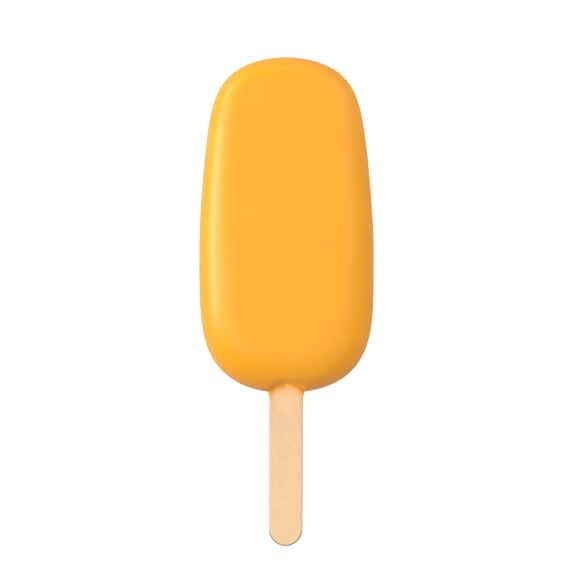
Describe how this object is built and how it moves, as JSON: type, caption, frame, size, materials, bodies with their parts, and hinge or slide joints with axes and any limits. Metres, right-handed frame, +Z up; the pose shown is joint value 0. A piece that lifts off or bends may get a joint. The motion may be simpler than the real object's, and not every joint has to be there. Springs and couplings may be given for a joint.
{
  "type": "ice lolly",
  "caption": "Smooth moulded ice lolly with an even coating on a flat wooden stick, lying on its back to be picked up by the stick.",
  "frame": {"origin": "on the surface the lolly lies on, under the middle of its overall length and width", "axes": "+X across the bar, +Y along the stick towards the bar's rounded head, +Z up, out of the face that shows"},
  "size_m": [0.0516, 0.1446, 0.0272],
  "materials": {
    "coating": "satin orange-yellow fruit coating, smooth, with a soft sheen",
    "wood": "bare pale wood, fine straight grain, tumbled edges"
  },
  "bodies": {
    "root": {"coated_bar": "coating", "stick": "wood"}
  },
  "joints": []
}
